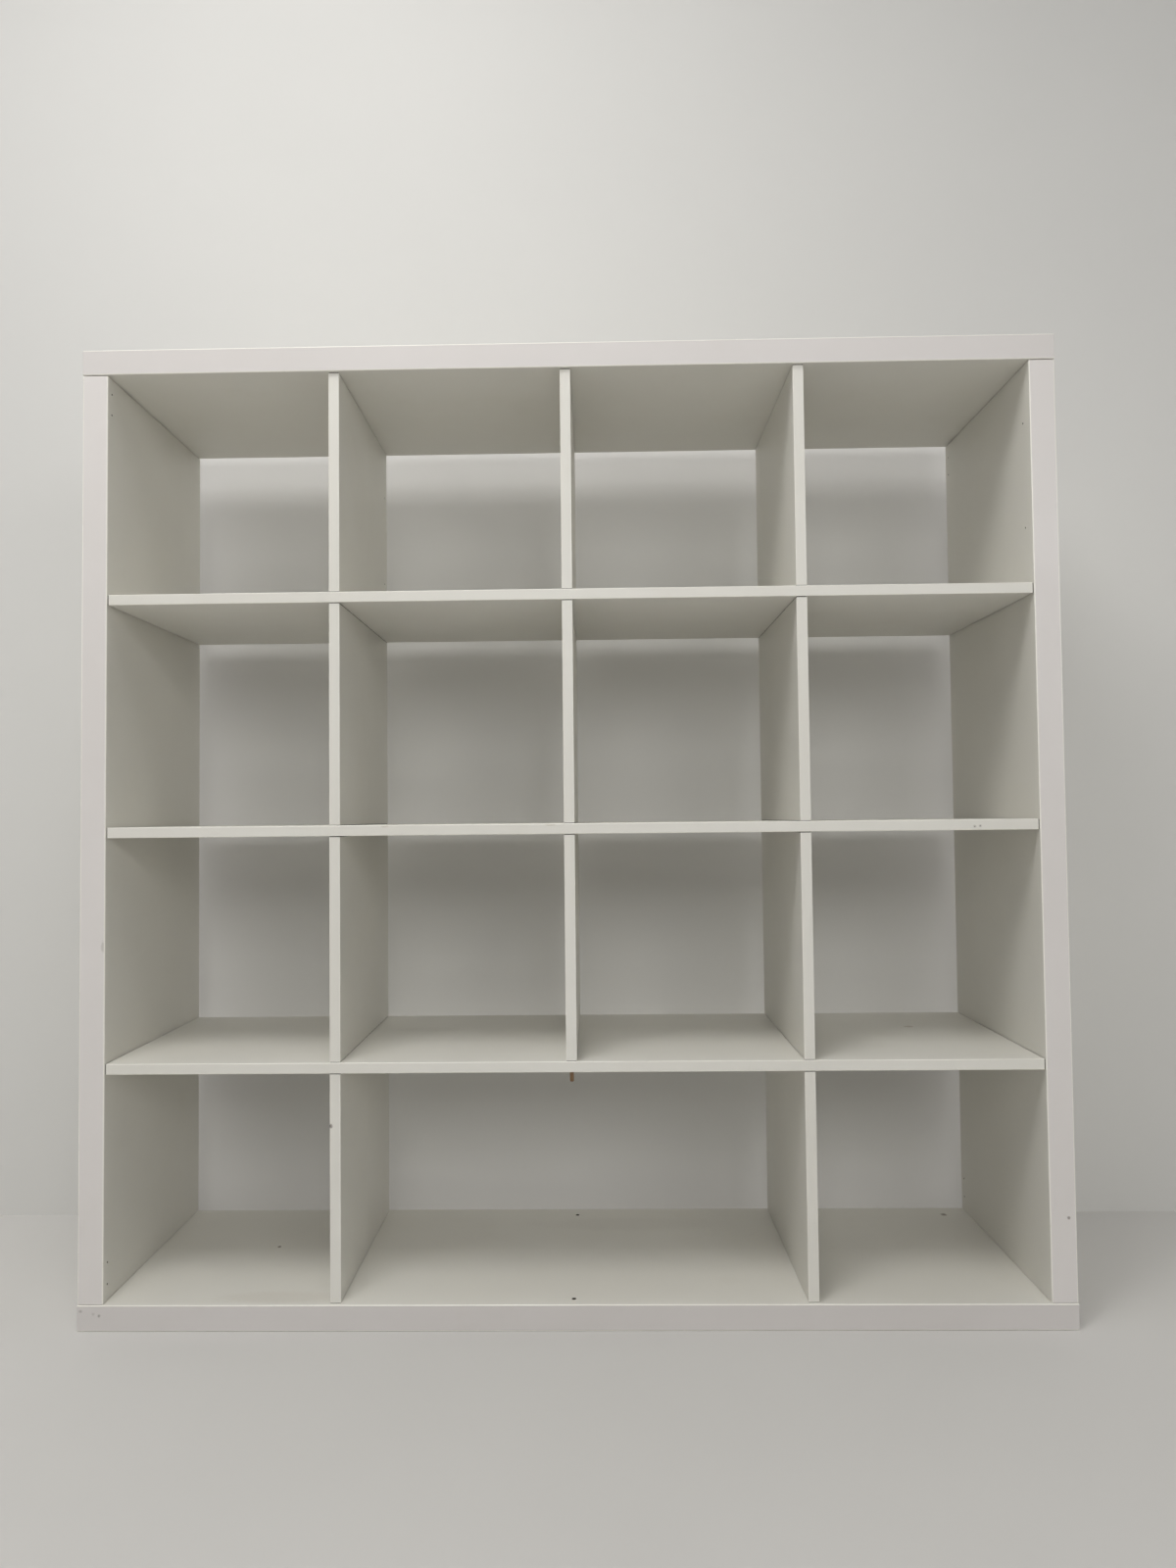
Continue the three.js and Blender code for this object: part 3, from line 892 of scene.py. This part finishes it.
def screwTree():
    tree, given = startTree("socket screw", [
        ("Head", "Float"), ("Head Height", "Float"), ("Shank", "Float"), ("Length", "Float"),
        ("Pitch", "Float"), ("Thread Depth", "Float"), ("Socket", "Float"),
        ("Socket Depth", "Float"), ("Rings", "Int"), ("Finish", "Material")])
    head = addNode(tree, "GeometryNodeMeshCylinder", {
        "Vertices": screws["headSides"], "Radius": calc(tree, "MULTIPLY", given["Head"], 0.5),
        "Depth": given["Head Height"]}, fill_type="NGON").outputs[0]
    lift = calc(tree, "MULTIPLY", given["Head Height"], -0.5)
    lowered = addNode(tree, "GeometryNodeTransform", {
        "Geometry": head,
        "Translation": addNode(tree, "ShaderNodeCombineXYZ", {"Z": lift}).outputs[0]}).outputs[0]
    socket = addNode(tree, "GeometryNodeMeshCylinder", {
        "Vertices": 6, "Radius": calc(tree, "DIVIDE", given["Socket"], math.sqrt(3)),
        "Depth": calc(tree, "MULTIPLY", given["Socket Depth"], 2.0)}, fill_type="NGON").outputs[0]
    hollow = addNode(tree, "GeometryNodeMeshBoolean", {"Mesh 1": lowered, "Mesh 2": socket},
                     operation="DIFFERENCE", solver="EXACT").outputs[0]
    shankLength = calc(tree, "SUBTRACT", given["Length"], given["Head Height"])
    rod = addNode(tree, "GeometryNodeMeshCylinder", {
        "Vertices": screws["shankSides"], "Side Segments": given["Rings"],
        "Radius": calc(tree, "MULTIPLY", given["Shank"], 0.5), "Depth": shankLength},
        fill_type="NGON").outputs[0]
    place = addNode(tree, "GeometryNodeInputPosition").outputs[0]
    parts = addNode(tree, "ShaderNodeSeparateXYZ", {0: place}).outputs
    # The thread is a wave that climbs one pitch in each turn
    turns = calc(tree, "DIVIDE", calc(tree, "ARCTAN2", parts["Y"], parts["X"]), 2 * math.pi)
    climb = calc(tree, "ADD", calc(tree, "DIVIDE", parts["Z"], given["Pitch"]), turns)
    ridge = calc(tree, "MULTIPLY", calc(tree, "PINGPONG", climb, 0.5), 2.0)
    fromTip = calc(tree, "ADD", parts["Z"], calc(tree, "MULTIPLY", shankLength, 0.5))
    taper = spread(tree, fromTip, 0.0, screws["tipLength"], screws["tipWidth"], 1.0)
    cutIn = calc(tree, "DIVIDE", calc(tree, "MULTIPLY", ridge, given["Thread Depth"]),
                 calc(tree, "MULTIPLY", given["Shank"], 0.5))
    share = calc(tree, "MULTIPLY", calc(tree, "SUBTRACT", 1.0, cutIn), taper)
    shaped = addNode(tree, "ShaderNodeCombineXYZ", {
        "X": calc(tree, "MULTIPLY", parts["X"], share),
        "Y": calc(tree, "MULTIPLY", parts["Y"], share), "Z": parts["Z"]}).outputs[0]
    threaded = addNode(tree, "GeometryNodeSetPosition", {
        "Geometry": rod, "Position": shaped}).outputs[0]
    drop = calc(tree, "MULTIPLY", calc(tree, "ADD", given["Length"], given["Head Height"]), -0.5)
    hung = addNode(tree, "GeometryNodeTransform", {
        "Geometry": threaded,
        "Translation": addNode(tree, "ShaderNodeCombineXYZ", {"Z": drop}).outputs[0]}).outputs[0]
    whole = addNode(tree, "GeometryNodeJoinGeometry")
    tree.links.new(hollow, whole.inputs[0])
    tree.links.new(hung, whole.inputs[0])
    turned = addNode(tree, "GeometryNodeInputNamedAttribute", {"Name": "turned"},
                     data_type="FLOAT").outputs[0]
    turn = addNode(tree, "ShaderNodeCombineXYZ", {"X": turned}).outputs[0]
    placed = addNode(tree, "GeometryNodeInstanceOnPoints", {
        "Points": given["Geometry"], "Instance": whole.outputs[0], "Rotation": turn})
    endTree(tree, placed.outputs[0], given["Finish"])
    return tree


screwLow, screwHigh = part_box(screwNames[0])
screwLength = screwHigh.z - screwLow.z
threadRings = int((screwLength - joinery["screwHeadHeight"]) / screws["pitch"] * screws["ringsPerTurn"])
growPiece("corner_screws",
          pointCloudMesh("corner_screws", [h[0] for h in screwHeads], [h[1] for h in screwHeads]),
          screwTree(), {
              "Head": joinery["screwHead"], "Head Height": joinery["screwHeadHeight"],
              "Shank": joinery["screwShank"], "Length": screwLength, "Pitch": screws["pitch"],
              "Thread Depth": screws["threadDepth"], "Socket": screws["socketWidth"],
              "Socket Depth": screws["socketDepth"], "Rings": threadRings,
              "Finish": boltSteel}, screwNames)
print("screws made")


# Floor and wall

studio = {
    "floorTone": (0.62, 0.61, 0.59),
    "wallTone": (0.72, 0.715, 0.693),
    "wallGap": 85 * mm,
    "size": 5.0,
    "wallHeight": 4.0,
    "floorDrop": 0.2 * mm,
    "floorPatch": 0.97,         # share of the tone in the darker patches
    "wallPatch": 0.98,
    "patchesPerMetre": 1.4,
    "patchRange": (0.35, 0.7),
    "grainPerMetre": 120.0,
    "grainDepth": 0.3 * mm,
    "roughness": 0.85,
}


def stageFinish(name, tone, patchShade):
    finish, tree, shader, place = startFinish(name)
    patches = noise(tree, place, studio["patchesPerMetre"], 3.0, 0.5)
    share = spread(tree, patches, *studio["patchRange"], 0.0, 1.0)
    darker = [patchShade * v for v in tone]
    tree.links.new(blendTones(tree, share, tone, darker), shader.inputs["Base Color"])
    shader.inputs["Roughness"].default_value = studio["roughness"]
    grain = noise(tree, place, studio["grainPerMetre"], 3.0, 0.6)
    addBump(tree, shader, grain, 0.15, studio["grainDepth"])
    # Seen from behind, the stage is clear, so that the unit shows from every side
    clear = addNode(tree, "ShaderNodeBsdfTransparent").outputs[0]
    side = addNode(tree, "ShaderNodeNewGeometry").outputs["Backfacing"]
    mixed = addNode(tree, "ShaderNodeMixShader", {0: side, 1: shader.outputs[0], 2: clear})
    tree.links.new(mixed.outputs[0], tree.nodes["Material Output"].inputs["Surface"])
    return finish


def stageSheet(name, corners, finish):
    shape = bmesh.new()
    shape.faces.new([shape.verts.new(c) for c in corners])
    sheet = addObject(name, meshFrom(name, shape))
    sheet.data.materials.append(finish)


far = studio["size"]
floorZ = -studio["floorDrop"]
wallY = cadBox[1].y + studio["wallGap"]
paleFloor = stageFinish("pale floor", studio["floorTone"], studio["floorPatch"])
paleWall = stageFinish("pale wall", studio["wallTone"], studio["wallPatch"])
wallTop = studio["wallHeight"]
stageSheet("floor", [(-far, -far, floorZ), (far, -far, floorZ), (far, far, floorZ),
                     (-far, far, floorZ)], paleFloor)
stageSheet("wall", [(-far, wallY, floorZ), (far, wallY, floorZ), (far, wallY, wallTop),
                    (-far, wallY, wallTop)], paleWall)
print("floor and wall laid")


# Camera and lights

view = {
    "place": (0.0381, -1.8145, 0.752),
    "turn": (92.041, 0.568, 1.061),     # degrees
    "lens": 24.97,                      # millimetres
    "sensor": 36,
    "shift": (0.0086, -0.0036),
}
lens = bpy.data.cameras.new("camera")
lens.lens = view["lens"]
lens.sensor_width = view["sensor"]
lens.shift_x, lens.shift_y = view["shift"]
camera = bpy.data.objects.new("camera", lens)
camera.location = view["place"]
camera.rotation_euler = [math.radians(v) for v in view["turn"]]
scene.collection.objects.link(camera)
scene.camera = camera

# Place, aim and size in metres, power in watts
lights = {
    "ceilingNear": ((-0.6, -0.7, 3.1), (-0.6, -0.7, 0), (1.2, 0.9), 9.5),
    "ceilingMiddle": ((-0.6, -1.5, 3.1), (-0.6, -1.5, 0), (1.2, 0.9), 33),
    "ceilingLeft": ((-1.8, -2.4, 3.1), (-1.8, -2.4, 0), (1.2, 0.9), 8),
    "windowMiddle": ((0, -4.2, 2.2), (0, 0, 0.8), (1.8, 1.2), 35),
    "windowRight": ((2.2, -4.2, 2.2), (0.7, 0, 0.8), (1.8, 1.2), 24),
    "fill": ((0, -4.2, 0.9), (0, 0, 0.8), (1.8, 1.2), 2.5),
    "leftSide": ((-4.2, -0.1, 1.7), (-0.7, 0, 0.7), (0.5, 1.0), 28),
    "rightSide": ((4.2, -0.1, 1.7), (0.7, 0, 0.7), (0.5, 1.0), 34),
    "rearFloor": ((0, 2.3, 3.4), (0, 2.3, 0), (3.6, 2.4), 120),
}
lampTone = (1.0, 0.99, 0.975)
skyLight = {"tone": (0.90, 0.905, 0.91), "seen": 0.62, "strength": 0.10}
backLight = {"place": (0, 3, 1), "aim": (0, 0, 1), "strength": 1.0, "tone": (1.0, 0.985, 0.96)}


def addLamp(name, kind, place, aim):
    lamp = bpy.data.lights.new(name, kind)
    holder = bpy.data.objects.new(name, lamp)
    holder.location = place
    holder.rotation_euler = (Vector(aim) - Vector(place)).to_track_quat("-Z", "Y").to_euler()
    scene.collection.objects.link(holder)
    return lamp


for name, (place, aim, size, power) in lights.items():
    lamp = addLamp(name, "AREA", place, aim)
    lamp.shape = "RECTANGLE"
    lamp.size, lamp.size_y = size
    lamp.energy = power
    lamp.color = lampTone

# This one only reaches faces that look backwards, and leaves no glint on them
behind = addLamp("behind", "SUN", backLight["place"], backLight["aim"])
scene.objects["behind"].visible_glossy = False
behind.energy = backLight["strength"]
behind.color = backLight["tone"]
behind.use_shadow = False

# The air is pale to look at, and gives only a little light of its own
air = bpy.data.worlds.new("studio air")
air.use_nodes = True
airTree = air.node_tree
seen = addNode(airTree, "ShaderNodeLightPath").outputs["Is Camera Ray"]
airTree.nodes["Background"].inputs["Color"].default_value = (*skyLight["tone"], 1)
glow = spread(airTree, seen, 0.0, 1.0, skyLight["strength"], skyLight["seen"])
airTree.links.new(glow, airTree.nodes["Background"].inputs["Strength"])
scene.world = air
scene.view_settings.view_transform = "Standard"
print("camera and lights set")
